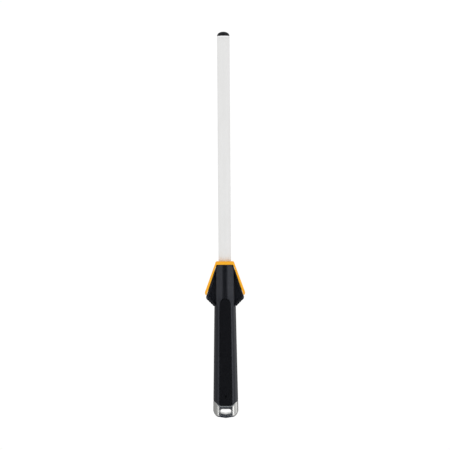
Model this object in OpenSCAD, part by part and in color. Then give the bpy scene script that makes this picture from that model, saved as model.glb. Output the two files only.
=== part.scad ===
// Ceramic honing rod with a moulded angle guide, a two-shell handle and a metal end cap.
// The rod stands along +Z, the front of the handle faces -Y, and the origin is the grip's centre.
// In the profiles below, a point is [half width, depth below the guide's top face].

/* [Rod] */
// Diameter of the exposed ceramic rod
rod_d = 14; // [13.5:0.5:14.5]
// Length of rod that stands above the guide
rod_l = 254; // [200:1:300]
// Bore of the hollow rod
rod_bore_d = 7; // [5:0.5:8]
// Polished chamfer at the end of the rod
rod_chamfer = 0.6; // [0.2:0.1:1]
// Diameter of the ground tang that sits in the handle
tang_d = 13.2; // [12.6:0.1:13.3]
// Length of the tang
tang_l = 58; // [56:1:59]

/* [Tip cap] */
// Height of the domed tip cap
tip_h = 4.9; // [3:0.1:6]
// Diameter of the dome's base
tip_d = 13.9; // [12:0.1:14]
// Length of the stem in the rod's bore
stem_l = 14; // [8:1:20]

/* [Angle guide] */
// Angle between the rod and each blade face
guide_angle = 20; // [19:0.5:21]
// Width of the guide's top face
guide_top_w = 20.1; // [19.9:0.1:20.4]
// Thickness of the guide's top plate
guide_plate_t = 3.8; // [3:0.1:4]
// Depth of the guide from front to back
guide_depth = 21; // [20.8:0.2:22]
// Radius of each leg's rounded end
leg_end_r = 3.6; // [3.4:0.1:3.8]

/* [Guard] */
// Width of the faceted barrel that holds the rod
barrel_w = 20.3; // [20:0.1:20.5]
// Depth of the barrel from front to back
barrel_depth = 20.8; // [20.4:0.1:21.2]
// Depth of the wings' raised rims
rim_depth = 17; // [14:0.5:18]
// Thickness of the recessed webs
web_t = 9; // [7:0.5:10]
// Width of the raised rim around each web
rim_w = 1.2; // [1:0.1:1.6]
// Thickness of each ribbed finger pad
pad_t = 1.3; // [1:0.1:1.5]
// Depth of the finger pads from front to back
pad_depth = 15; // [12:0.5:16]

/* [Handle] */
// Width of the handle at the neck
neck_w = 24.4; // [24:0.1:25]
// Width of the handle at the butt
butt_w = 28.6; // [28:0.1:29]
// Depth of the handle at the neck
neck_depth = 23; // [22.5:0.1:24]
// Depth of the handle at the butt
butt_depth = 26; // [25.5:0.1:27]
// Thickness of the soft grip panels
panel_t = 1.5; // [1.2:0.1:1.8]
// How far the panels lie below the handle's facets
panel_sink = 0.35; // [0.2:0.05:0.5]

/* [End cap] */
// Width of the hanging hole at its widest
hole_w = 12.8; // [12:0.2:13]
// Diameter of the steel cross pin
pin_d = 4; // [3:0.5:4]

/* [Hidden] */
$fn = 96;

fit = 0.05;
slice = 0.01;
beyond = 60;
top_z = 105;

leg_angle = 18.5;
leg_end_t = 35.2;
leg_foot_t = 38.4;
leg_top_half = 9.4;
leg_end_angle = 56;
tongue_t = 2;
tongue_h = 1.5;
tongue_from = 10;
tongue_to = 33;

wing_half = 21.35;
wing_corner = [20.85, 42.35];
pad_l = 11.7;
rib_pitch = 2.925;
rib_h = 0.45;
rib_steps = 6;

flare_t = 43.6;
guard_t = 51;
total_t = 176;
butt_flat = [5.7, 162.3];
butt_side = [13.35, 157.2];
butt_notch = [0.73, -1.5];
chamfer_top = [14.4, 170.4];
chamfer_end = [10, 174.3];

arch_top_t = 42;
arch_full_t = 49.8;
arch_steps = 10;
panel_share = 0.49;
dimple_t = 151.7;
dimple_r = 3;
dimple_d = 0.3;

bore_d = 15.8;
rod_floor_t = 60;
bush_from = 5;
bush_to = 22;
collar_from = 34;
flange_from = 52;
flange_to = 56;
flange_d = 17;
cavity_from = 66;
cavity_to = 146;
cavity_wall_x = 3;
cavity_wall_y = 4.4;

screw_ts = [74, 96, 118, 140];
screw_d = 3.4;
screw_head_d = 6.4;
screw_head_h = 2;
screw_seat_y = 6.4;
screw_reach = 7;
boss_d = 8;
boss_l = 8.5;
slot_w = 1;

cap_tongue = [13, 9];
cap_tongue_from = 150;
cap_pin_t = 155;
cap_pin_l = 17;
hole_top_t = 165.9;
hole_v_t = 171.6;
hole_top_half = 4.3;

// Height of a point that lies t below the guide's top face
function z_at(t) = top_z - t;

// A profile of [half width, t] points, mirrored to both sides and turned into [x, z]
function both_sides(pts) = concat(
    [for (p = pts) [p[0], z_at(p[1])]],
    [for (i = [len(pts) - 1 : -1 : 0]) [-pts[i][0], z_at(pts[i][1])]]
);

// Points on an arc, from one angle to another
function arc(c, r, from, to, steps) =
    [for (i = [0 : steps]) let (a = from + (to - from) * i / steps) c + r * [cos(a), sin(a)]];

function guide_half(t) = guide_top_w / 2 + t * tan(guide_angle);
function leg_half(t) = leg_top_half + (t - guide_plate_t) * tan(leg_angle);
function along_handle(t) = (t - guard_t) / (total_t - guard_t);
function half_w(t) = neck_w / 2 + (butt_w - neck_w) / 2 * along_handle(t);
function half_d(t) = neck_depth / 2 + (butt_depth - neck_depth) / 2 * along_handle(t);

// Sections are given as one quarter, from the front facet round to the side, in shares of half the size
grip_quarter = [[0.52, 1], [0.65, 0.955], [0.765, 0.86], [0.94, 0.55], [1, 0.2]];
barrel_quarter = [[0.2, 1], [0.6, 0.868], [0.985, 0.74], [1, 0.62], [1, 0.2]];
function section(quarter, a, b) = let (q = [for (p = quarter) [p[0] * a, p[1] * b]]) concat(
    q,
    [for (i = [len(q) - 1 : -1 : 0]) [q[i][0], -q[i][1]]],
    [for (p = q) -p],
    [for (i = [len(q) - 1 : -1 : 0]) [-q[i][0], q[i][1]]]
);

// A profile seen from the front, extruded from front to back about the centre
module plate(depth) {
    translate([0, depth / 2, 0]) rotate([90, 0, 0]) linear_extrude(depth) children();
}

module facet_slice(t, inset_x, inset_y) {
    translate([0, 0, z_at(t)]) linear_extrude(slice)
        polygon(section(grip_quarter, half_w(t) - inset_x, half_d(t) - inset_y));
}

module tapered(from, to, inset_x, inset_y) {
    hull() {
        facet_slice(from, inset_x, inset_y);
        facet_slice(to, inset_x, inset_y);
    }
}

// Barrel, flare and grip as one body, less an even inset
module handle_body(inset) {
    barrel = section(barrel_quarter, barrel_w / 2 - inset, barrel_depth / 2 - inset);
    translate([0, 0, z_at(flare_t)]) linear_extrude(flare_t - guide_plate_t) polygon(barrel);
    hull() {
        translate([0, 0, z_at(flare_t)]) linear_extrude(slice) polygon(barrel);
        facet_slice(guard_t, inset, inset);
    }
    tapered(guard_t, total_t, inset, inset);
}

module drilled(d, from, to) {
    translate([0, 0, z_at(to)]) cylinder(d = d, h = to - from);
}

module across(d, t, from_y, to_y) {
    translate([0, to_y, z_at(t)]) rotate([90, 0, 0]) cylinder(d = d, h = to_y - from_y);
}

module ring(outer_d, inner_d, from, to) {
    difference() {
        drilled(outer_d, from, to);
        drilled(inner_d, from - 1, to + 1);
    }
}

module half_space(side) {
    translate([-beyond, side > 0 ? 0 : -beyond, -2 * beyond]) cube([2 * beyond, beyond, 4 * beyond]);
}

// ---- Rod and tip ----

module ceramic_rod() {
    rod_top = z_at(-rod_l);
    color("whitesmoke") difference() {
        union() {
            translate([0, 0, top_z]) cylinder(d = rod_d, h = rod_l - rod_chamfer);
            translate([0, 0, rod_top - rod_chamfer])
                cylinder(d1 = rod_d, d2 = rod_d - 2 * rod_chamfer, h = rod_chamfer);
            translate([0, 0, z_at(tang_l)]) cylinder(d = tang_d, h = tang_l);
        }
        translate([0, 0, z_at(tang_l) - 1]) cylinder(d = rod_bore_d, h = rod_l + tang_l + 2);
    }
}

module tip_cap() {
    dome = [for (i = [0 : 16]) let (a = 90 * i / 16) [tip_d / 2 * cos(a), tip_h * sin(a)]];
    color("#222326") translate([0, 0, z_at(-rod_l)]) {
        rotate_extrude() polygon(concat([[0, 0]], dome));
        translate([0, 0, -stem_l]) cylinder(d = rod_bore_d - 2 * fit, h = stem_l);
    }
}

// ---- Angle guide ----

module leg_tongues(extra) {
    for (side = [-1, 1]) plate(tongue_t + 2 * extra) polygon([
        for (p = [
            [leg_half(tongue_from) + 0.5, tongue_from - extra],
            [leg_half(tongue_to) + 0.5, tongue_to + extra],
            [leg_half(tongue_to) - tongue_h - extra, tongue_to + extra],
            [leg_half(tongue_from) - tongue_h - extra, tongue_from - extra]
        ]) [side * p[0], z_at(p[1])]
    ]);
}

// Seen from the front: a top plate and two legs that thicken downwards to rounded ends
module saddle() {
    end_c = [guide_half(leg_end_t) - leg_end_r / cos(guide_angle), leg_end_t];
    polygon(both_sides(concat(
        [[guide_top_w / 2, 0]],
        arc(end_c, leg_end_r, -guide_angle, leg_end_angle, 10),
        [[leg_half(leg_foot_t), leg_foot_t], [leg_top_half, guide_plate_t]]
    )));
}

module angle_guide() {
    color("#f4a824") union() {
        difference() {
            plate(guide_depth) saddle();
            drilled(tang_d + 0.2, -1, guide_plate_t + 1);
        }
        leg_tongues(0);
    }
}

// ---- Handle shells ----

module wing_solid() {
    down = [-1, 1] / sqrt(2);
    inward = [-1, -1] / sqrt(2);
    step = wing_corner + pad_t * inward;
    plate(rim_depth) polygon(both_sides([
        [leg_top_half - fit, guide_plate_t],
        [leg_half(leg_foot_t) - fit, leg_foot_t],
        [wing_half, leg_foot_t + 0.9],
        [wing_half, wing_corner[1] - 1.2],
        wing_corner,
        step,
        step + pad_l * down,
        [barrel_w / 2, guard_t]
    ]));
}

// Triangular recess in each face of a wing, which leaves the rim and the web
module wing_recess() {
    edge = rim_w / cos(leg_angle);
    under = wing_corner[0] + wing_corner[1] - (pad_t + rim_w) * sqrt(2);
    slope = tan(leg_angle);
    corner_t = (under - leg_top_half + edge + guide_plate_t * slope) / (1 + slope);
    root = 6;
    root_t = guide_plate_t + (root - leg_top_half + edge) / slope;
    for (side = [-1, 1], face = [-1, 1])
        translate([0, face * (web_t / 2 + beyond / 2), 0])
            plate(beyond) polygon([
                for (p = [[root, root_t], [under - corner_t, corner_t], [root, under - root]])
                    [side * p[0], z_at(p[1])]
            ]);
}

module arch(grow, side) {
    full_half = panel_share * half_w(arch_full_t);
    rise = arch_full_t - arch_top_t;
    crown = [for (i = [1 : arch_steps]) let (s = i / arch_steps)
        [full_half * sin(90 * s) + grow, arch_full_t - rise * cos(90 * s) - grow]];
    translate([0, side * beyond / 2, 0]) plate(beyond) polygon(both_sides(concat(
        [[0, arch_top_t - grow]],
        crown,
        [[panel_share * half_w(total_t) + grow, total_t + 1]]
    )));
}

module below_butt() {
    plate(beyond) polygon(both_sides([
        butt_flat, butt_side, butt_side + 6 * butt_notch, [beyond, butt_side[1] - 9], [beyond, total_t + 1]
    ]));
}

module shell(side) {
    difference() {
        union() {
            difference() {
                intersection() {
                    union() {
                        handle_body(0);
                        difference() {
                            wing_solid();
                            wing_recess();
                        }
                    }
                    half_space(side);
                }
                difference() {
                    arch(fit, side);
                    handle_body(panel_t + panel_sink);
                }
                tapered(cavity_from, cavity_to, cavity_wall_x, cavity_wall_y);
            }
            for (t = screw_ts) across(boss_d, t, side > 0 ? 0 : -boss_l, side > 0 ? boss_l : 0);
        }
        below_butt();
        plate(beyond) saddle();
        leg_tongues(fit);
        drilled(bore_d, guide_plate_t - 1, rod_floor_t);
        drilled(flange_d + 2 * fit, flange_from - fit, flange_to + fit);
        translate([-cap_tongue[0] / 2 - fit, -cap_tongue[1] / 2 - fit, z_at(total_t)])
            cube([cap_tongue[0] + 2 * fit, cap_tongue[1] + 2 * fit, total_t - cap_tongue_from + fit]);
        across(pin_d + 2 * fit, cap_pin_t, -cap_pin_l / 2 - fit, cap_pin_l / 2 + fit);
        for (t = screw_ts) {
            across(screw_d + 2 * fit, t, -screw_reach - 0.5, beyond);
            across(screw_head_d + 0.4, t, screw_seat_y, beyond);
        }
    }
}

module handle_front() {
    color("#2d2e31") shell(-1);
}

module handle_rear() {
    color("#2d2e31") shell(1);
}

// ---- Soft grip panels and finger pads ----

module grip_panel(side) {
    difference() {
        intersection() {
            arch(0, side);
            handle_body(panel_sink);
        }
        handle_body(panel_sink + panel_t);
        below_butt();
    }
}

module grip_front() {
    color("#15161a") difference() {
        grip_panel(-1);
        translate([0, -half_d(dimple_t) + panel_sink - dimple_r + dimple_d, z_at(dimple_t)])
            sphere(dimple_r);
    }
}

module grip_rear() {
    color("#15161a") grip_panel(1);
}

module finger_pad(side) {
    down = [-1, 1] / sqrt(2);
    inward = [-1, -1] / sqrt(2);
    count = rib_steps * round(pad_l / rib_pitch);
    ribs = [for (i = [0 : count]) let (s = pad_l * i / count)
        wing_corner + s * down + rib_h * (1 - abs(sin(180 * s / rib_pitch))) * inward];
    base = wing_corner + (pad_t - fit) * inward;
    outline = concat(ribs, [base + pad_l * down, base]);
    plate(pad_depth) polygon([for (p = outline) [side * p[0], z_at(p[1])]]);
}

module finger_pad_left() {
    color("#1b1c1f") difference() {
        finger_pad(-1);
        handle_body(-fit);
    }
}

module finger_pad_right() {
    color("#1b1c1f") difference() {
        finger_pad(1);
        handle_body(-fit);
    }
}

// ---- End cap ----

module hanging_hole() {
    low_r = 1.3;
    low_c = [hole_w / 2 - low_r, 169.2];
    high_r = 1.5;
    plate(beyond) polygon(both_sides(concat(
        [[0, hole_top_t]],
        arc([hole_top_half, hole_top_t + high_r], high_r, -90, -25, 5),
        arc(low_c, low_r, -20, 80, 6),
        [[0, hole_v_t]]
    )));
}

module end_cap() {
    rise = (butt_flat[1] - butt_side[1]) / (butt_side[0] - butt_flat[0]);
    shoulder = [16, butt_flat[1] - (16 - butt_flat[0]) * rise];
    color("#b9bbbb") difference() {
        union() {
            intersection() {
                tapered(guard_t, total_t, 0, 0);
                plate(beyond) polygon(both_sides([
                    butt_flat, shoulder, [16, chamfer_top[1] - 1.6], chamfer_top, chamfer_end, [0, total_t]
                ]));
            }
            translate([-cap_tongue[0] / 2, -cap_tongue[1] / 2, z_at(butt_flat[1] + 1)])
                cube([cap_tongue[0], cap_tongue[1], butt_flat[1] + 1 - cap_tongue_from]);
        }
        hanging_hole();
        across(pin_d + 2 * fit, cap_pin_t, -beyond, beyond);
    }
}

module cap_pin() {
    color("silver") across(pin_d, cap_pin_t, -cap_pin_l / 2, cap_pin_l / 2);
}

// ---- Rod seat and screws ----

module rod_collar() {
    color("dimgray") union() {
        ring(bore_d - 2 * fit, tang_d + 2 * fit, collar_from, tang_l);
        ring(flange_d, tang_d + 2 * fit, flange_from, flange_to);
    }
}

module shock_bush() {
    color("#3a3a3a") ring(bore_d - 2 * fit, tang_d + 2 * fit, bush_from, bush_to);
}

module end_pad() {
    color("#3a3a3a") drilled(bore_d - 2 * fit, tang_l, rod_floor_t);
}

module shell_screws() {
    color("silver") for (t = screw_ts) difference() {
        union() {
            across(screw_d, t, -screw_reach, screw_seat_y + 0.1);
            across(screw_head_d, t, screw_seat_y, screw_seat_y + screw_head_h);
        }
        for (turn = [0, 90])
            translate([0, screw_seat_y + screw_head_h, z_at(t)]) rotate([0, turn, 0])
                cube([screw_head_d * 0.6, 2.4, slot_w], center = true);
    }
}

ceramic_rod();
tip_cap();
angle_guide();
handle_front();
handle_rear();
grip_front();
grip_rear();
finger_pad_left();
finger_pad_right();
end_cap();
cap_pin();
rod_collar();
shock_bush();
end_pad();
shell_screws();
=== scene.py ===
"""Looks of a ceramic honing rod with an angle guide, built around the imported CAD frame.

Turned pieces are lathed from profiles. Moulded and cast pieces are fields: functions of a place, negative
inside, made of planes that meet in rounded joins and then meshed evenly. Profiles and fields work in
millimetres, in x, y and t, where t is the depth below the guide's top face.
"""

import math

import bmesh
import bpy
import numpy as np
from mathutils import Matrix, Vector


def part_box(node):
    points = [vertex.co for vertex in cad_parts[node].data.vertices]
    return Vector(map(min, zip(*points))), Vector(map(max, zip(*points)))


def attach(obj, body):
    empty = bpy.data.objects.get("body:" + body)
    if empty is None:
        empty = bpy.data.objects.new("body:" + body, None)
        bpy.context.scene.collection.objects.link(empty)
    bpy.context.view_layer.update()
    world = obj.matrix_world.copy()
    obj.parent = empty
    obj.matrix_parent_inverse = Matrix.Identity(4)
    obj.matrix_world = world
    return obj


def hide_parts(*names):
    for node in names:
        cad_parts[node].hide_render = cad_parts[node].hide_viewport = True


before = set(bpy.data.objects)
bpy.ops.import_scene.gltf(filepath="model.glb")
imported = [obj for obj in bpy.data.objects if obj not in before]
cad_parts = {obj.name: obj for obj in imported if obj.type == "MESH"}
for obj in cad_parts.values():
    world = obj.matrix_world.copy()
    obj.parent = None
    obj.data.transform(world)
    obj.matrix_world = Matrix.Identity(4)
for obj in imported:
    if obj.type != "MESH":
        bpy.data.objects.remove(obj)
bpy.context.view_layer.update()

MM = 0.001
BODY = "root"
EDGE = "edge"


# ---------------------------------------------------------------- sizes


GUIDE_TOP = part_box("angle_guide")[1].z
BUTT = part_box("end_cap")[0].z


def depth_of(z):
    """Depth below the guide's top face, in mm."""
    return (GUIDE_TOP - z) / MM


def half_size(node, axis):
    """Half of a node's size along x, y or z, in mm."""
    low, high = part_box(node)
    return (high[axis] - low[axis]) / 2 / MM


# The rod and its tip
ROD_R = half_size("ceramic_rod", 0)
ROD_END_T = depth_of(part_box("ceramic_rod")[1].z)
TANG_END_T = depth_of(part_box("ceramic_rod")[0].z)
TANG_R = 6.6
TANG_GAP = 0.1
BORE_R = 3.5
END_CHAMFER = 0.6
BAND_H = 1.5
TIP_R = half_size("tip_cap", 0)
TIP_T = depth_of(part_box("tip_cap")[1].z)
STEM_T = depth_of(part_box("tip_cap")[0].z)
STEM_R = 3.45

# The angle guide: a top plate and two legs at 20 degrees
GUIDE_Y = half_size("angle_guide", 1)
GUIDE_ANGLE = math.radians(20)
GUIDE_TOP_HALF = 10.035
PLATE_T = 3.8
LEG_ANGLE = math.radians(18.5)
LEG_TOP_HALF = 9.4
LEG_END_T = 35.2
LEG_END_R = 3.6
LEG_END_ANGLE = math.radians(56)
LEG_FOOT = (20.93, 38.4)
FIT = 0.05

# The key along the inside of each leg, which sits in a groove of the shells
KEY_ROOT = 0.5
KEY_H = 1.4
KEY_T = (10.0, 33.0)
KEY_Y = 1.0
KEY_GAP = 0.1

# The handle: barrel, flare and grip as one faceted body, from the guide down to the butt
TOTAL_T = depth_of(BUTT)
BARREL_HALF = (10.25, 10.4)
NECK_HALF = (12.2, 11.5)
BUTT_HALF = (14.3, 13.0)
FLARE_T = 43.0
DEEPEN_T = 34.0
GUARD_T = 51.0
FLARE_END_T = 52.0
FACET_R = 0.8
BARREL_R = 0.45

# Corners of a quarter of each section, from the side to the front, as shares of the half sizes
GRIP_QUARTER = [(1.0, 0.2), (0.94, 0.55), (0.765, 0.86), (0.65, 0.955), (0.52, 1.0)]
BARREL_QUARTER = [(1.0, 0.2), (1.0, 0.62), (0.985, 0.74), (0.6, 0.885), (0.2, 1.0)]

# The wings and their pads
WING_HALF = half_size("handle_front", 0)
WING_CORNER = (20.85, 42.35)
WING_BEVEL = 1.2
SHOULDER_H = 0.9
RIM_Y = 8.5
RIM_W = 1.2
RIM_FLAT = 0.3
RIM_SLOPE = math.radians(21)
WEB_Y = 4.5
DRAFT = 0.12
PAD_T = 1.3
PAD_L = 11.7
PAD_Y = half_size("finger_pad_left", 1)
RIB_PITCH = 2.925
RIB_H = 0.45

# The grip panels, in an arched pocket
ARCH_TOP_T = 42.0
ARCH_FULL_T = 49.8
PANEL_SHARE = 0.49
PANEL_SINK = 0.35
PANEL_T = 1.5
PANEL_GAP = 0.2
PANEL_BACK_Y = 6.0
DIMPLE_T = 151.7
DIMPLE_R = 1.4
DIMPLE_H = 1.2

# The seat of the rod, and the screws
SEAT_R = 7.9
SEAT_T = 60.0
FLANGE_R = 8.55
FLANGE_T = (51.95, 56.05)
CAVITY_T = (66.0, 146.0)
CAVITY_WALL = (3.0, 4.4)
SCREW_TS = (74.0, 96.0, 118.0, 140.0)
SCREW_R = 1.75
SCREW_TIP_Y = -7.5
HEAD_R = 3.4
HEAD_SEAT_Y = 6.4
BOSS_R = 4.0
BOSS_Y = 8.5

# The end cap
BUTT_FLAT = (5.7, 162.3)
BUTT_SIDE = (13.35, 157.2)
BUTT_NOTCH = (0.73, -1.5)
CAP_CHAMFER = ((14.4, 170.4), (10.0, 174.3))
CAP_CHAMFER_W = 1.5
CAP_LIP_H = 1.25
CAP_LIP_SLOPE = 2.2
HOLE_TOP_T = 165.9
HOLE_SIDE = ((5.66, 166.77), (6.32, 168.76))
HOLE_LOW = ((5.33, 170.48), (0, 171.6))
HOLE_BEVEL = 0.35
HOLE_FLARE_T = 2.5
TONGUE_HALF = (6.5, 4.5)
TONGUE_T = 150.0
TONGUE_ROOT = 1.0
PIN_T = 155.0
PIN_R = 2.05
PIN_REACH = 8.55


# ---------------------------------------------------------------- fields


def overlap(a, b, r=0.3):
    """Where both shapes are, with an outer edge of radius r."""
    inside = np.minimum(np.maximum(a, b), -r)
    return inside + np.hypot(np.maximum(a + r, 0), np.maximum(b + r, 0))


def join(a, b, r=0.3):
    """Both shapes together, with a fillet of radius r."""
    return -overlap(-a, -b, r)


def cut(a, b, r=0.3):
    """The first shape without the second, with a rounded lip of radius r."""
    return overlap(a, -b, r)


def line(u, v, start, end):
    """Distance beyond a line, on the left of the way from start to end where v points up."""
    run = end[0] - start[0]
    rise = end[1] - start[1]
    return ((u - start[0]) * rise - (v - start[1]) * run) / np.hypot(run, rise)


def smooth_step(share):
    share = np.clip(share, 0, 1)
    return share * share * (3 - 2 * share)


def handle_corners(t, inset=(0.0, 0.0)):
    """Corners of a quarter of the handle's section at depth t, from the side to the front."""
    run = np.clip((t - GUARD_T) / (TOTAL_T - GUARD_T), 0, None)
    widen = smooth_step((t - FLARE_T) / (FLARE_END_T - FLARE_T))
    deepen = smooth_step((t - DEEPEN_T) / (FLARE_END_T - DEEPEN_T))
    corners = []
    for barrel_share, grip_share in zip(BARREL_QUARTER, GRIP_QUARTER):
        corner = []
        for k, flare in enumerate((widen, deepen)):
            barrel = barrel_share[k] * (BARREL_HALF[k] - inset[k])
            grip = grip_share[k] * (NECK_HALF[k] + (BUTT_HALF[k] - NECK_HALF[k]) * run - inset[k])
            corner.append(barrel + (grip - barrel) * flare)
        corners.append(corner)
    return corners


def handle_body(x, y, t, inset=(0.0, 0.0), r=FACET_R):
    """Barrel, flare and grip as one faceted body without ends."""
    u, v = np.abs(x), np.abs(y)
    corners = handle_corners(t, inset)
    r = BARREL_R + (r - BARREL_R) * smooth_step((t - FLARE_T) / (FLARE_END_T - FLARE_T))
    shape = u - corners[0][0]
    for low, high in zip(corners, corners[1:]):
        shape = overlap(shape, line(u, v, low, high), r)
    return overlap(shape, v - corners[-1][1], r)


def inner_leg(u, t):
    """Distance beyond the inner face of the guide's legs."""
    return (u - LEG_TOP_HALF - (t - PLATE_T) * math.tan(LEG_ANGLE)) * math.cos(LEG_ANGLE)


def underside(u, t):
    """Distance below the wings' slanted underside."""
    return (u - WING_CORNER[0] + t - WING_CORNER[1]) / math.sqrt(2)


def along_pad(u, t):
    """Distance down along the wings' underside from its outer corner."""
    return (t - WING_CORNER[1] - u + WING_CORNER[0]) / math.sqrt(2)


def guide_field(x, y, t):
    """The guide: a top plate round the rod's tang, and two legs with rounded feet and a key inside."""
    u = np.abs(x)
    end_u = GUIDE_TOP_HALF + LEG_END_T * math.tan(GUIDE_ANGLE) - LEG_END_R / math.cos(GUIDE_ANGLE)
    side = (u - GUIDE_TOP_HALF) * math.cos(GUIDE_ANGLE) - t * math.sin(GUIDE_ANGLE)
    foot = (u - end_u) * math.cos(LEG_END_ANGLE) + (t - LEG_END_T) * math.sin(LEG_END_ANGLE) - LEG_END_R
    round_end = np.hypot(u - end_u, t - LEG_END_T) - LEG_END_R
    turn = np.arctan2(t - LEG_END_T, u - end_u)
    outer = np.where((turn > -GUIDE_ANGLE) & (turn < LEG_END_ANGLE), round_end, np.maximum(side, foot))
    outer = overlap(outer, -t, 1.0)
    outer = overlap(outer, np.abs(y) - GUIDE_Y, 0.6)
    leg = inner_leg(u, t)
    shape = cut(outer, overlap(leg, PLATE_T - t, 0.6), 0.4)
    key = overlap(leg - KEY_ROOT, -leg - KEY_H, 0.2)
    key = overlap(key, overlap(KEY_T[0] - t, t - KEY_T[1], 0.2), 0.2)
    shape = join(shape, overlap(key, np.abs(y) - KEY_Y, 0.2), 0.1)
    return cut(shape, np.hypot(x, y) - TANG_R - TANG_GAP, 0.3)


def beside_leg(u, t):
    """The room that the wings leave for the guide's legs, down to a shoulder at each leg's foot."""
    shoulder = line(u, t, LEG_FOOT, (WING_HALF, LEG_FOOT[1] + SHOULDER_H))
    return overlap(-inner_leg(u, t) - FIT, -shoulder, 0.1)


def wing(x, y, t):
    """Both wings as one plate with a recess in each face, up to the guide's legs."""
    u, v = np.abs(x), np.abs(y)
    leg = inner_leg(u, t) + FIT
    under = underside(u, t)
    bevel_top = (WING_HALF, WING_CORNER[1] - WING_BEVEL)
    outline = overlap(u - WING_HALF, line(u, t, bevel_top, WING_CORNER), 0.5)
    outline = overlap(outline, under, 0.4)
    plate = overlap(outline, v - RIM_Y, 0.45)
    inward = -np.maximum(leg, under) - RIM_FLAT
    plate = overlap(plate, (v - RIM_Y) * math.cos(RIM_SLOPE) + inward * math.sin(RIM_SLOPE), 0.3)
    draft = DRAFT * (RIM_Y - v)
    recess = overlap(leg + RIM_W + draft, under + PAD_T + RIM_W + draft, 1.2)
    recess = overlap(recess, WEB_Y - v, 0.8)
    plate = cut(plate, recess, 0.3)
    seat = overlap(-(under + PAD_T), -along_pad(u, t), 0.1)
    plate = cut(plate, seat, 0.15)
    return cut(plate, beside_leg(u, t), 0.5)


def arch(x, t, grow=0.0):
    """The outline of a grip panel: straight sides under a half ellipse."""
    t_low = np.maximum(t, ARCH_FULL_T)
    run = np.clip((t_low - GUARD_T) / (TOTAL_T - GUARD_T), 0, None)
    half = PANEL_SHARE * (NECK_HALF[0] + (BUTT_HALF[0] - NECK_HALF[0]) * run)
    rise = np.maximum(ARCH_FULL_T - t, 0) / (ARCH_FULL_T - ARCH_TOP_T)
    return (np.hypot(x / half, rise) - 1) * half - grow


def butt(u, t):
    """Distance beyond the shells' lower edge: flat in the middle, slanted up to a notched corner."""
    slant = line(u, t, BUTT_SIDE, BUTT_FLAT)
    high = (BUTT_SIDE[0] + BUTT_NOTCH[0], BUTT_SIDE[1] + BUTT_NOTCH[1])
    return np.maximum(np.maximum(t - BUTT_FLAT[1], slant), line(u, t, high, BUTT_SIDE))


def shell_field(side):
    """The front shell where side is -1, and the rear shell where it is 1."""

    def field(x, y, t):
        u, v = np.abs(x), np.abs(y)
        outer = handle_body(x, y, t)
        solid = join(outer, wing(x, y, t), 0.5)
        pocket = overlap(arch(x, t, PANEL_GAP), -(outer + PANEL_SINK + PANEL_T), 0.3)
        solid = cut(solid, pocket, 0.45)
        solid = overlap(solid, butt(u, t), 0.3)
        solid = cut(solid, beside_leg(u, t), 0.5)
        solid = overlap(solid, PLATE_T + FIT - t, 0.5)
        hollow = overlap(handle_body(x, y, t, CAVITY_WALL), CAVITY_T[0] - t, 1)
        solid = cut(solid, overlap(hollow, t - CAVITY_T[1], 1), 0.3)
        for screw_t in SCREW_TS:
            boss = overlap(np.hypot(x, t - screw_t) - BOSS_R, v - BOSS_Y, 0.3)
            solid = join(solid, boss, 0.4)
        solid = overlap(solid, -side * y, 0.25)
        leg = inner_leg(u, t)
        groove = np.maximum(leg - KEY_ROOT, -leg - KEY_H - 2 * KEY_GAP)
        groove = np.maximum(groove, np.maximum(KEY_T[0] - t, t - KEY_T[1]) - KEY_GAP)
        solid = cut(solid, np.maximum(groove, v - KEY_Y - FIT), 0.1)
        from_axis = np.hypot(x, y)
        solid = cut(solid, np.maximum(from_axis - SEAT_R, t - SEAT_T), 0.2)
        flange = np.maximum(FLANGE_T[0] - t, t - FLANGE_T[1])
        solid = cut(solid, np.maximum(from_axis - FLANGE_R, flange), 0.1)
        slot = np.maximum(u - TONGUE_HALF[0] - FIT, v - TONGUE_HALF[1] - FIT)
        solid = cut(solid, np.maximum(slot, TONGUE_T - FIT - t), 0.1)
        solid = cut(solid, np.maximum(np.hypot(x, t - PIN_T) - PIN_R, v - PIN_REACH), 0.1)
        for screw_t in SCREW_TS:
            from_screw = np.hypot(x, t - screw_t)
            solid = cut(solid, np.maximum(from_screw - SCREW_R, SCREW_TIP_Y - y), 0.1)
            solid = cut(solid, np.maximum(from_screw - HEAD_R, HEAD_SEAT_Y - y), 0.1)
        return solid

    return field


def grip_field(side):
    """The front or rear grip panel: a soft slab that lies a little below the pocket's lip."""

    def field(x, y, t):
        outer = handle_body(x, y, t)
        slab = overlap(outer + PANEL_SINK, arch(x, t), 0.7)
        slab = overlap(slab, butt(np.abs(x), t) + FIT, 0.4)
        slab = overlap(slab, -(outer + PANEL_SINK + PANEL_T), 0.2)
        slab = overlap(slab, PANEL_BACK_Y - side * y, 0.2)
        if side < 0:
            dimple = np.hypot(x, t - DIMPLE_T) - DIMPLE_R
            slab = cut(slab, np.maximum(dimple, -(outer + PANEL_SINK + DIMPLE_H)), 0.2)
        return slab

    return field


def pad_field(side):
    """A ribbed finger pad under the left or right wing."""

    def field(x, y, t):
        u = side * x
        under = underside(u, t)
        down = along_pad(u, t)
        wave = np.sqrt(np.sin(math.pi * down / RIB_PITCH) ** 2 + 0.01)
        ribs = under + RIB_H * (1 - wave)
        shape = overlap(ribs, -(under + PAD_T - FIT), 0.15)
        shape = overlap(shape, overlap(-down, down - PAD_L, 0.15), 0.15)
        shape = overlap(shape, np.abs(y) - PAD_Y, 0.5)
        return cut(shape, handle_body(x, y, t) - FIT, 0.1)

    return field


def hole_field(u, t):
    """The hanging hole: flat top, sides that spread downwards, and a shallow V below."""
    top = overlap(HOLE_TOP_T - t, line(u, t, *HOLE_SIDE), 1.5)
    return overlap(top, line(u, t, *HOLE_LOW), 1.3)


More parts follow.
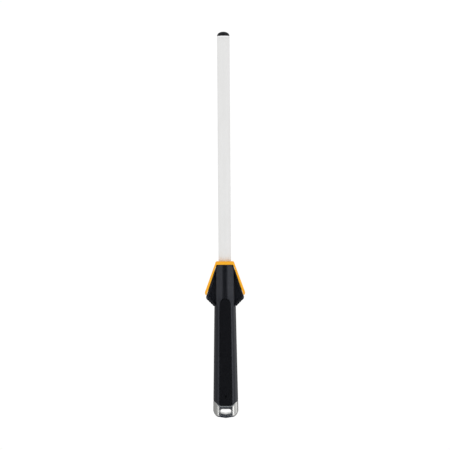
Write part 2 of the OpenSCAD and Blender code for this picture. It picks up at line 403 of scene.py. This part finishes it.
def cap_field(x, y, t):
    """The cap: the handle's facets down to a chamfered, shallow V, with a tongue up into the shells."""
    u, v = np.abs(x), np.abs(y)
    # Blunts the point of the V
    soft_u = np.hypot(x, 0.8) - 0.3
    facets = handle_body(x, y, t)
    front = v - handle_corners(t)[-1][1]
    chamfer = line(u, t, *CAP_CHAMFER)
    vee = line(soft_u, t, CAP_CHAMFER[1], (0, TOTAL_T))
    low = overlap(chamfer, vee, 0.5)
    shape = overlap(facets, low, 0.3)
    shape = overlap(shape, (facets + low + CAP_CHAMFER_W) / math.sqrt(2), 0.3)
    seam = np.maximum(t - BUTT_FLAT[1], line(u, t, BUTT_SIDE, BUTT_FLAT))
    shape = cut(shape, seam, 0.25)
    lip = CAP_LIP_H - (t - BUTT_FLAT[1]) + CAP_LIP_SLOPE * front
    lip = lip / math.hypot(1, CAP_LIP_SLOPE)
    shape = overlap(shape, lip, 0.2)
    tongue = overlap(u - TONGUE_HALF[0], v - TONGUE_HALF[1], 0.3)
    tongue = overlap(tongue, TONGUE_T - t, 0.3)
    shape = join(shape, overlap(tongue, t - BUTT_FLAT[1] - TONGUE_ROOT, 0.3), 0.1)
    hole = hole_field(u, t)
    flare = smooth_step((HOLE_LOW[0][1] - t) / HOLE_FLARE_T)
    bevel = (hole - HOLE_BEVEL - flare - front) / math.sqrt(2)
    shape = cut(shape, join(hole, bevel, 0.4), 0.4)
    return cut(shape, np.hypot(x, t - PIN_T) - PIN_R, 0.2)


# ---------------------------------------------------------------- meshes


def place(points):
    """Turn points of x, y and t in mm into metres in the frame."""
    points = np.asarray(points, float)
    return np.stack([points[:, 0] * MM, points[:, 1] * MM, GUIDE_TOP - points[:, 2] * MM], axis=1)


def make_piece(name, points, faces):
    mesh = bpy.data.meshes.new(name)
    mesh.from_pydata(points.tolist(), [], faces)
    mesh.validate()
    mesh.shade_smooth()
    piece = bpy.data.objects.new(name, mesh)
    bpy.context.scene.collection.objects.link(piece)
    return piece


def slope_of(field, points, reach=0.02):
    """The field's value at each point, and how it grows along x, y and t."""
    slope = np.empty_like(points)
    for axis in range(3):
        shift = np.zeros(3)
        shift[axis] = reach
        slope[:, axis] = field(*(points + shift).T) - field(*(points - shift).T)
    return field(*points.T), slope / (2 * reach)


def cross_grid(field, low, high, step):
    """Where the surface crosses the lines of a grid, and the four cells round each crossing."""
    axes = [np.arange(a - 2 * step, b + 3 * step, step) for a, b in zip(low, high)]
    values = field(*np.meshgrid(*axes, indexing="ij"))
    cells = [n - 1 for n in values.shape]
    hits, rings = [], []
    for axis in range(3):
        across = [k for k in range(3) if k != axis]
        near = np.delete(values, -1, axis)
        far = np.delete(values, 0, axis)
        edges = np.argwhere((near < 0) != (far < 0))
        start, end = near[tuple(edges.T)], far[tuple(edges.T)]
        hit = np.stack([axes[k][edges[:, k]] for k in range(3)], axis=1)
        hit[:, axis] += step * start / (start - end)
        ring = []
        for i, j in ((0, 0), (-1, 0), (-1, -1), (0, -1)):
            cell = edges.copy()
            cell[:, across[0]] += i
            cell[:, across[1]] += j
            ring.append(np.ravel_multi_index(cell.T, cells))
        ring = np.stack(ring, axis=1)
        turned = (start < 0) != (axis == 1)
        ring[turned] = ring[turned][:, ::-1]
        hits.append(hit)
        rings.append(ring)
    used, faces = np.unique(np.concatenate(rings), return_inverse=True)
    return np.concatenate(hits), faces.reshape(-1, 4), len(used)


def fit_points(field, hits, faces, number, step):
    """One point for each used cell, where the flat patches that cross it meet, or near their middle."""
    weakest, pull = 0.25, 0.04
    for _ in range(2):
        value, slope = slope_of(field, hits)
        hits = hits - value[:, None] * slope / np.maximum((slope**2).sum(1), weakest)[:, None]
    _, slope = slope_of(field, hits)
    normal = slope / np.linalg.norm(slope, axis=1)[:, None]
    owner = faces.ravel()

    def gather(amounts):
        return np.bincount(owner, np.repeat(amounts, 4), number)

    count = gather(np.ones(len(hits)))
    middle = np.stack([gather(hits[:, k]) for k in range(3)], axis=1) / count[:, None]
    spread = np.empty((number, 3, 3))
    reach = np.empty((number, 3))
    ahead = (normal * hits).sum(1)
    for i in range(3):
        for j in range(3):
            spread[:, i, j] = gather(normal[:, i] * normal[:, j])
        reach[:, i] = gather(normal[:, i] * ahead)
    reach -= np.einsum("nij,nj->ni", spread, middle)
    stiff = spread + pull * count[:, None, None] * np.eye(3)
    move = np.linalg.solve(stiff, reach[:, :, None])[:, :, 0]
    return middle + np.clip(move, -step, step)


def thin_out(piece, share):
    """Merge the faces of flat stretches, and keep those of edges."""
    modifier = piece.modifiers.new("thin", "DECIMATE")
    modifier.ratio = share
    depsgraph = bpy.context.evaluated_depsgraph_get()
    thinned = bpy.data.meshes.new_from_object(piece.evaluated_get(depsgraph))
    piece.modifiers.clear()
    piece.data = thinned


def follow_field(piece, field, depth=0.5):
    """Shade the piece with the field's own direction at each point, and note how sharp its edges are."""
    flat = np.empty(3 * len(piece.data.vertices), np.float32)
    piece.data.vertices.foreach_get("co", flat)
    points = flat.reshape(-1, 3).astype(float)
    points[:, 2] = GUIDE_TOP - points[:, 2]
    points /= MM
    _, slope = slope_of(field, points)
    normals = slope / np.linalg.norm(slope, axis=1)[:, None]
    edge = 1 + field(*(points - depth * normals).T) / depth
    piece.data.attributes.new(EDGE, "FLOAT", "POINT").data.foreach_set("value", edge.astype(np.float32))
    normals[:, 2] *= -1
    piece.data.shade_smooth()
    piece.data.normals_split_custom_set_from_vertices(normals.tolist())


def field_piece(name, field, low, high, step, most=90000):
    """Mesh a field inside a box of x, y and t, in mm, with about that many four-sided faces at most."""
    hits, faces, number = cross_grid(field, low, high, step)
    points = fit_points(field, hits, faces, number, step)
    piece = make_piece(name, place(points), faces.tolist())
    if len(faces) > most:
        thin_out(piece, most / len(faces))
    follow_field(piece, field)
    return piece


def lathe(name, profile, segments=128, longest=7.0):
    """Turn a closed profile of (radius, t) points, anticlockwise with the rod's end up, about the axis."""
    rows = []
    for (r0, t0), (r1, t1) in zip(profile, profile[1:] + profile[:1]):
        parts = max(1, math.ceil(math.hypot(r1 - r0, t1 - t0) / longest))
        rows += [(r0 + (r1 - r0) * k / parts, t0 + (t1 - t0) * k / parts) for k in range(parts)]
    points = []
    rings = []
    for radius, t in rows:
        turns = 1 if radius == 0 else segments
        rings.append([len(points) + k for k in range(turns)])
        for k in range(turns):
            angle = 2 * math.pi * k / segments
            points.append((radius * math.cos(angle), radius * math.sin(angle), t))
    faces = []
    for low, high in zip(rings, rings[1:] + rings[:1]):
        for k in range(segments):
            near = (low[k % len(low)], low[(k + 1) % len(low)])
            far = (high[(k + 1) % len(high)], high[k % len(high)])
            face = list(dict.fromkeys((*near, *far)))
            if len(face) > 2:
                faces.append(face)
    return make_piece(name, place(points), faces)


def bend(centre, radius, start, end, steps, squash=1.0):
    """Points on an arc of (radius, t), from one angle to another, in degrees."""
    angles = [math.radians(start + (end - start) * k / steps) for k in range(steps + 1)]
    return [(centre[0] + radius * math.cos(a), centre[1] - squash * radius * math.sin(a)) for a in angles]


def make_rod():
    """A hollow ceramic rod with a ground tang, and a polished band at its end behind a fine groove."""
    band_t = ROD_END_T + BAND_H
    groove = 0.1
    profile = [
        (BORE_R, TANG_END_T - 0.3),
        (BORE_R + 0.3, TANG_END_T),
        (TANG_R - 0.5, TANG_END_T),
        (TANG_R, TANG_END_T - 0.5),
        (TANG_R, 0.0),
        (ROD_R - 0.12, 0.0),
        (ROD_R, -0.12),
        (ROD_R, band_t + 2 * groove),
        (ROD_R - groove, band_t + groove),
        (ROD_R - groove, band_t),
        *bend((ROD_R - groove, band_t - groove), groove, 0, 60, 2),
        *bend((ROD_R - END_CHAMFER, ROD_END_T + END_CHAMFER), END_CHAMFER, 0, 90, 6),
        (BORE_R + 0.3, ROD_END_T),
        (BORE_R, ROD_END_T + 0.3),
    ]
    return lathe("rod", profile)


def make_tip():
    """A domed plug with a short straight rim and a chamfered stem."""
    rim = 0.35
    base_t = ROD_END_T - 0.01
    dome_h = base_t - rim - TIP_T
    profile = [
        (0.0, STEM_T),
        (STEM_R - 0.5, STEM_T),
        (STEM_R, STEM_T - 0.7),
        (STEM_R, base_t),
        (TIP_R - 0.15, base_t),
        (TIP_R, base_t - 0.15),
        *bend((0, base_t - rim), TIP_R, 0, 86, 22, dome_h / TIP_R),
        (0.0, TIP_T),
    ]
    return lathe("rod_tip", profile, longest=4.0)


# ---------------------------------------------------------------- camera, light, floor


def make_camera():
    """A long lens, level with the upper rod, square on to the front and rolled a little."""
    view_width = 0.5075
    lens, sensor = 200.0, 36.0
    roll = math.radians(-0.39)
    target = Vector((0.0005, 0.0, GUIDE_TOP + 0.0409))
    data = bpy.data.cameras.new("camera")
    data.lens = lens
    data.sensor_width = sensor
    camera = bpy.data.objects.new("camera", data)
    bpy.context.scene.collection.objects.link(camera)
    distance = view_width * lens / sensor
    facing = Matrix.Rotation(math.radians(90), 4, "X")
    stand = Matrix.Translation(target + Vector((0, -distance, 0)))
    camera.matrix_world = stand @ facing @ Matrix.Rotation(roll, 4, "Z")
    bpy.context.scene.camera = camera


def make_world():
    """White surroundings to the eye and to matt surfaces, and a studio of soft boxes to gloss."""
    dark = (0.035, 0.040, 0.055)
    below = (0.035, 0.042, 0.060)
    above = (0.27, 0.29, 0.31)
    # How bright the studio is round the object: degrees from the front, to the left below zero.
    # None is the dark room behind the camera.
    stops = [
        (-180, 1.00),
        (-177, 1.00),
        (-172, 0.16),
        (-160, 0.22),
        (-148, 0.36),
        (-128, 0.36),
        (-54, 0.42),
        (-46, 1.30),
        (-31, 1.30),
        (-25, None),
        (25, None),
        (31, 1.85),
        (36, 1.80),
        (42, 1.45),
        (54, 1.35),
        (64, 0.50),
        (92, 0.50),
        (104, 0.95),
        (124, 0.95),
        (136, 0.36),
        (160, 0.20),
        (172, 0.14),
        (177, 1.00),
        (180, 1.00),
    ]
    world = bpy.data.worlds.new("studio")
    bpy.context.scene.world = world
    world.use_nodes = True
    world.cycles.sampling_method = "NONE"
    tree = world.node_tree
    tree.nodes.clear()

    def add(kind, inputs, **settings):
        node = tree.nodes.new(kind)
        for name, value in settings.items():
            setattr(node, name, value)
        for socket, value in inputs.items():
            if isinstance(value, bpy.types.NodeSocket):
                tree.links.new(value, node.inputs[socket])
            else:
                node.inputs[socket].default_value = value
        return node

    def rise(source, low, high):
        """From 0 where the source is low to 1 where it is high."""
        limits = {"Value": source, "From Min": low, "From Max": high}
        return add("ShaderNodeMapRange", limits).outputs[0]

    toward = add("ShaderNodeSeparateXYZ", {0: add("ShaderNodeTexCoord", {}).outputs["Generated"]}).outputs
    front = add("ShaderNodeMath", {0: toward["Y"], 1: -1.0}, operation="MULTIPLY").outputs[0]
    turn = add("ShaderNodeMath", {0: toward["X"], 1: front}, operation="ARCTAN2").outputs[0]
    ring = add("ShaderNodeValToRGB", {"Fac": rise(turn, -math.pi, math.pi)})
    ramp = ring.color_ramp
    while len(ramp.elements) < len(stops):
        ramp.elements.new(0.5)
    for element, (degrees, glow) in zip(ramp.elements, stops):
        colour = dark if glow is None else (glow, glow, glow)
        element.position = degrees / 360 + 0.5
        element.color = (*colour, 1)
    upper = {"Factor": rise(toward["Z"], 0.25, 0.7), "A": ring.outputs["Color"], "B": (*above, 1)}
    upper = add("ShaderNodeMix", upper, data_type="RGBA").outputs["Result"]
    whole = {"Factor": rise(toward["Z"], -0.8, -0.35), "A": (*below, 1), "B": upper}
    whole = add("ShaderNodeMix", whole, data_type="RGBA").outputs["Result"]
    gloss = add("ShaderNodeLightPath", {}).outputs["Is Glossy Ray"]
    plain = add("ShaderNodeBackground", {"Color": (1, 1, 1, 1), "Strength": 1.02}).outputs[0]
    boxes = add("ShaderNodeBackground", {"Color": whole}).outputs[0]
    mix = add("ShaderNodeMixShader", {0: gloss, 1: plain, 2: boxes}).outputs[0]
    add("ShaderNodeOutputWorld", {"Surface": mix})


def make_floor():
    """A plain pale floor, well below the butt because a hand holds the tool up."""
    drop, radius = 0.22, 1.3
    mesh = bpy.data.meshes.new("floor")
    bm = bmesh.new()
    bmesh.ops.create_circle(bm, cap_ends=True, segments=96, radius=radius)
    bmesh.ops.translate(bm, verts=bm.verts, vec=(0, 0, BUTT - drop))
    bm.to_mesh(mesh)
    bm.free()
    floor = bpy.data.objects.new("floor", mesh)
    bpy.context.scene.collection.objects.link(floor)
    material = bpy.data.materials.new("floor_paint")
    material.use_nodes = True
    shader = material.node_tree.nodes["Principled BSDF"]
    shader.inputs["Base Color"].default_value = (0.95, 0.95, 0.95, 1)
    shader.inputs["Roughness"].default_value = 0.9
    shader.inputs["Specular IOR Level"].default_value = 0.0
    mesh.materials.append(material)
    floor.visible_glossy = False


# ---------------------------------------------------------------- materials


class Finish:
    """A material with short calls for the few nodes that the finishes use. Lengths are in mm."""

    def __init__(self, name, **constants):
        self.material = bpy.data.materials.new(name)
        self.material.use_nodes = True
        self.tree = self.material.node_tree
        self.shader = self.tree.nodes["Principled BSDF"]
        for socket, value in constants.items():
            self.shader.inputs[socket.replace("_", " ")].default_value = value
        self.place = self.add("ShaderNodeTexCoord").outputs["Object"]

    def add(self, kind, inputs=(), **settings):
        node = self.tree.nodes.new(kind)
        for name, value in settings.items():
            setattr(node, name, value)
        for socket, value in dict(inputs).items():
            if isinstance(value, bpy.types.NodeSocket):
                self.tree.links.new(value, node.inputs[socket])
            else:
                node.inputs[socket].default_value = value
        return node

    def link(self, socket, source):
        self.tree.links.new(source, self.shader.inputs[socket])

    def grain(self, size, detail=2.0, stretch=(1, 1, 1)):
        """Noise with features of about that size, drawn out along the axes whose stretch is above one."""
        scale = [1 / (size * MM * k) for k in stretch]
        spread = self.add("ShaderNodeMapping", {"Vector": self.place, "Scale": scale})
        noise = {"Vector": spread.outputs[0], "Scale": 1.0, "Detail": detail}
        return self.add("ShaderNodeTexNoise", noise).outputs["Fac"]

    def pebbles(self, size):
        """Round bumps of about that size."""
        cells = self.add("ShaderNodeTexVoronoi", {"Vector": self.place, "Scale": 1 / (size * MM)})
        return self.scaled(cells.outputs["Distance"], 1.0, 0.0, 0.0, 0.6)

    def scaled(self, source, low, high, from_low=0.3, from_high=0.7):
        """The source, spread out to run from low to high."""
        limits = {"From Min": from_low, "From Max": from_high, "To Min": low, "To Max": high}
        return self.add("ShaderNodeMapRange", {"Value": source, **limits}).outputs[0]

    def blend(self, share, first, second):
        """A colour between two colours."""
        colours = {"Factor": share}
        for socket, colour in (("A", first), ("B", second)):
            colours[socket] = colour if isinstance(colour, bpy.types.NodeSocket) else (*colour, 1)
        return self.add("ShaderNodeMix", colours, data_type="RGBA").outputs["Result"]

    def sum(self, first, second, operation="ADD"):
        node = self.add("ShaderNodeMath", operation=operation)
        for socket, value in zip(node.inputs, (first, second)):
            if isinstance(value, bpy.types.NodeSocket):
                self.tree.links.new(value, socket)
            else:
                socket.default_value = value
        return node.outputs[0]

    def edge(self, strong=0.25):
        """From 0 on flat stretches to 1 on sharp outer edges."""
        found = self.add("ShaderNodeAttribute", attribute_name=EDGE).outputs["Fac"]
        return self.scaled(found, 0.0, 1.0, 0.06, strong)

    def bump(self, source, depth, strength=1.0):
        """Raise the surface by up to that depth, on top of what was raised before."""
        inputs = {"Height": source, "Distance": depth * MM, "Strength": strength}
        if self.shader.inputs["Normal"].is_linked:
            inputs["Normal"] = self.shader.inputs["Normal"].links[0].from_socket
        self.link("Normal", self.add("ShaderNodeBump", inputs).outputs[0])


def ceramic():
    """Fine white alumina, ground round and round, with a polished band at the rod's end that is smoother
    and is painted lighter as a painted highlight.
    """
    f = Finish("alumina", Specular_IOR_Level=0.45)
    height = f.add("ShaderNodeSeparateXYZ", {0: f.place}).outputs["Z"]
    band_z = GUIDE_TOP - (ROD_END_T + BAND_H) * MM
    polished_band_and_highlight = f.scaled(height, 0.0, 1.0, band_z, band_z + 0.05 * MM)
    cloud = f.scaled(f.grain(9.0, 3, (1, 1, 4)), 0.0, 1.0)
    body = f.blend(cloud, (0.775, 0.773, 0.765), (0.800, 0.799, 0.795))
    # The band at the rod's end is painted lighter than the body as a painted highlight; its real polish is
    # the lower roughness below.
    f.link("Base Color", f.blend(polished_band_and_highlight, body, (0.93, 0.93, 0.94)))
    rings = f.grain(0.09, 2, (60, 60, 1))
    matt = f.scaled(rings, 0.48, 0.60)
    f.link("Roughness", f.sum(matt, f.scaled(polished_band_and_highlight, 0.0, -0.35, 0, 1)))
    f.bump(rings, 0.004, 0.5)
    f.bump(f.grain(0.06, 3), 0.004, 0.5)
    return f.material


def moulded(name, dark, light, rough, grain_depth=0.020, grain_size=0.24, **constants):
    """Moulded plastic with a fine spark-eroded grain, a little polished on its edges."""
    f = Finish(name, **constants)
    cloud = f.scaled(f.grain(11.0, 3), 0.0, 1.0)
    worn = f.edge()
    body = f.blend(cloud, dark, light)
    f.link("Base Color", f.blend(f.sum(worn, 0.35, "MULTIPLY"), body, [1.6 * k + 0.004 for k in light]))
    fine = f.grain(grain_size, 3)
    spots = f.scaled(f.grain(3.0, 4), rough - 0.04, rough + 0.05)
    f.link("Roughness", f.sum(f.sum(spots, f.scaled(fine, -0.03, 0.03)), f.sum(worn, -0.06, "MULTIPLY")))
    f.bump(fine, grain_depth, 0.6)
    return f.material


def guide_paint():
    """Yellow moulded plastic, with faint scuffs along the slope where blades rest."""
    f = Finish("guide_plastic", Specular_IOR_Level=0.4, Subsurface_Weight=0.04, Subsurface_Scale=0.0006)
    cloud = f.scaled(f.grain(14.0, 2), 0.0, 1.0)
    worn = f.edge()
    body = f.blend(cloud, (0.965, 0.430, 0.007), (0.985, 0.458, 0.010))
    f.link("Base Color", f.blend(f.sum(worn, 0.3, "MULTIPLY"), body, (0.99, 0.56, 0.05)))
    scuffs = f.grain(0.12, 2, (1, 1, 45))
    fine = f.grain(0.25, 3)
    f.link("Roughness", f.sum(f.scaled(scuffs, 0.30, 0.50), f.scaled(fine, -0.04, 0.04)))
    f.bump(fine, 0.018, 0.6)
    f.bump(scuffs, 0.010, 0.5)
    return f.material


def soft_rubber(name, dark, light, pebble, depth):
    """Matt rubber with a fine pebbled skin."""
    f = Finish(name, Specular_IOR_Level=0.22, Specular_Tint=COOL)
    cloud = f.scaled(f.grain(7.0, 4), 0.0, 1.0)
    f.link("Base Color", f.blend(cloud, dark, light))
    skin = f.pebbles(pebble)
    f.link("Roughness", f.sum(f.scaled(f.grain(2.0, 3), 0.46, 0.60), f.scaled(skin, 0.04, -0.03, 0, 1)))
    f.bump(skin, depth, 0.6)
    f.bump(f.grain(0.15, 2), 0.006, 0.4)
    return f.material


def brushed_metal(name, colour, rough, length=40, line=0.07, depth=0.0035):
    """Satin metal brushed along the tool, with brighter edges and faint handling marks."""
    f = Finish(name, Metallic=1.0)
    lines = f.grain(line, 2, (1, 1, length))
    worn = f.edge(0.3)
    smudge = f.grain(5.0, 4)
    tone = f.blend(f.scaled(lines, 0.0, 1.0), [0.93 * k for k in colour], colour)
    f.link("Base Color", f.blend(f.sum(worn, 0.5, "MULTIPLY"), tone, (0.86, 0.86, 0.85)))
    matt = f.sum(f.scaled(lines, rough - 0.03, rough + 0.06), f.scaled(smudge, -0.02, 0.04))
    f.link("Roughness", f.sum(matt, f.sum(worn, -0.05, "MULTIPLY")))
    f.bump(lines, depth, 0.5)
    return f.material


# The darkest and lightest tones of the blacks, and the tint of their gloss
BLACK = ((0.0038, 0.0042, 0.0056), (0.0052, 0.0056, 0.0072))
DEEP = ((0.0026, 0.0028, 0.0036), (0.0036, 0.0038, 0.0047))
COOL = (0.84, 0.87, 1.0, 1.0)

ALUMINA = ceramic()
TIP_RUBBER = moulded("tip_rubber", *BLACK, 0.36, 0.010, 0.15)
GUIDE_PLASTIC = guide_paint()
SHELL_PLASTIC = moulded("shell_plastic", *BLACK, 0.36, Specular_IOR_Level=0.6, Specular_Tint=COOL)
GRIP_RUBBER = soft_rubber("grip_rubber", *DEEP, 0.50, 0.060)
PAD_RUBBER = soft_rubber("pad_rubber", *DEEP, 0.35, 0.040)
CAP_METAL = brushed_metal("cap_metal", (0.74, 0.74, 0.72), 0.24)
PLAIN_STEEL = brushed_metal("plain_steel", (0.60, 0.61, 0.63), 0.28, 8)
COLLAR_PLASTIC = moulded("collar_plastic", (0.06, 0.06, 0.062), (0.08, 0.08, 0.083), 0.45)
BUSH_RUBBER = soft_rubber("bush_rubber", *DEEP, 0.40, 0.020)


# ---------------------------------------------------------------- the object


def show(piece, material, slot, *nodes):
    """Give a piece its material, and let it stand for its CAD nodes."""
    piece.data.materials.append(material)
    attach(piece, BODY)
    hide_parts(*nodes)


make_camera()
make_world()
make_floor()
bpy.context.scene.view_settings.view_transform = "Standard"

show(make_rod(), ALUMINA, "alumina", "ceramic_rod")
show(make_tip(), TIP_RUBBER, "tip_rubber", "tip_cap")

# Each field is meshed in a box of x, y and t that holds it, in steps as fine as its edges need
guide = field_piece("blade_guide", guide_field, (-22.7, -10.5, 0), (22.7, 10.5, 38.8), 0.25)
show(guide, GUIDE_PLASTIC, "guide_plastic", "angle_guide")

for word, side in (("front", -1), ("rear", 1)):
    low_y, high_y = sorted((0, 13 * side))
    shell = field_piece(f"{word}_shell", shell_field(side), (-21.4, low_y, 3.8), (21.4, high_y, 162.4), 0.3)
    show(shell, SHELL_PLASTIC, "shell_plastic", f"handle_{word}")
    grip = field_piece(f"{word}_grip", grip_field(side), (-7.2, low_y, 42), (7.2, high_y, 162.4), 0.28)
    show(grip, GRIP_RUBBER, "grip_rubber", f"grip_{word}")

for word, side in (("left", -1), ("right", 1)):
    low_x, high_x = sorted((10 * side, 21 * side))
    pad = field_piece(f"{word}_pad", pad_field(side), (low_x, -7.6, 41), (high_x, 7.6, 51.5), 0.15)
    show(pad, PAD_RUBBER, "pad_rubber", f"finger_pad_{word}")

cap = field_piece("butt_cap", cap_field, (-14.4, -13, 150), (14.4, 13, 176), 0.2)
show(cap, CAP_METAL, "cap_metal", "end_cap")

inner_looks = {
    "cap_pin": PLAIN_STEEL,
    "shell_screws": PLAIN_STEEL,
    "rod_collar": COLLAR_PLASTIC,
    "shock_bush": BUSH_RUBBER,
    "end_pad": BUSH_RUBBER,
}
for node, look in inner_looks.items():
    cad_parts[node].data.materials.clear()
    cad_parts[node].data.materials.append(look)
